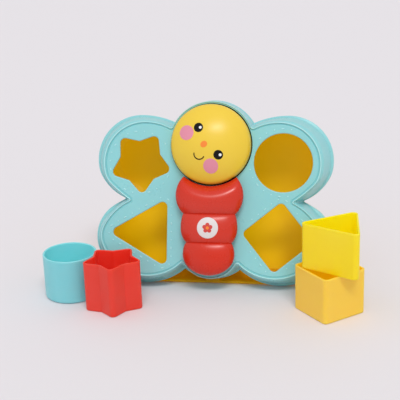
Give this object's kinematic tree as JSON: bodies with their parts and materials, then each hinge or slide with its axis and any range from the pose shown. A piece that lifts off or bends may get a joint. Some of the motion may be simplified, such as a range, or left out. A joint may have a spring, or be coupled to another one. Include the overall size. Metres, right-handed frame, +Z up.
{
  "type": "shape sorter",
  "caption": "Butterfly-shaped standing shape sorter with a spinning round face, segmented body, hinged hollow back tray and loose hollow blocks that match its cut-outs.",
  "frame": {"origin": "centre of the flat standing foot under the tray, on the floor", "axes": "+Z up, the toy's face looks towards -Y and leans back, +X to the viewer's right across the wings"},
  "size_m": [0.3157, 0.1702, 0.1821],
  "materials": {
    "turquoise_plastic": "satin injection-moulded plastic",
    "turquoise_block": "satin injection-moulded plastic",
    "amber_plastic": "satin injection-moulded plastic",
    "red_plastic": "glossy injection-moulded plastic",
    "red_block": "satin injection-moulded plastic",
    "yellow_plastic": "glossy injection-moulded plastic",
    "lemon_block": "satin injection-moulded plastic",
    "straw_block": "satin injection-moulded plastic",
    "white_plastic": "satin acetal",
    "steel": "zinc plated",
    "white_print": "printed ink",
    "black_print": "printed ink",
    "pink_print": "printed ink",
    "orange_print": "printed ink",
    "brown_print": "printed ink"
  },
  "bodies": {
    "front": {"front_shell": "turquoise_plastic", "hinge_pin": "steel", "body_cover": "red_plastic", "body_screws": "steel", "badge_label": "white_print", "click_spring": "white_plastic", "mechanism_cover": "white_plastic", "mechanism_screws": "steel"},
    "tray": {"tray": "amber_plastic"},
    "head": {"head_dome": "yellow_plastic", "head_base": "yellow_plastic", "click_ring": "white_plastic", "head_washer": "steel", "head_screw": "steel", "eye_prints": "black_print", "eye_highlights": "white_print", "cheek_prints": "pink_print", "nose_print": "orange_print", "mouth_print": "brown_print"},
    "circle_block": {"circle_block": "turquoise_block"},
    "star_block": {"star_block": "red_block"},
    "square_block": {"square_block": "straw_block"},
    "triangle_block": {"triangle_block": "lemon_block"}
  },
  "joints": [
    {"name": "tray_hinge", "type": "hinge", "parent": "front", "child": "tray", "pos_m": [0, 0.0427, 0.16384], "axis": [1, 0, 0], "range_deg": [0, 100]},
    {"name": "head_spin", "type": "hinge", "parent": "front", "child": "head", "pos_m": [0, -0.00159, 0.14271], "axis": [0, -0.9455, 0.3256], "continuous": true},
    {"name": "circle_block_lift", "type": "slide", "parent": "front", "child": "circle_block", "axis": [0, 0, 1], "range_m": [0, 0.12]},
    {"name": "star_block_lift", "type": "slide", "parent": "front", "child": "star_block", "axis": [0, 0, 1], "range_m": [0, 0.12]},
    {"name": "square_block_lift", "type": "slide", "parent": "front", "child": "square_block", "axis": [0, 0, 1], "range_m": [0, 0.12]},
    {"name": "triangle_block_lift", "type": "slide", "parent": "square_block", "child": "triangle_block", "axis": [0, 0, 1], "range_m": [0, 0.12]}
  ]
}
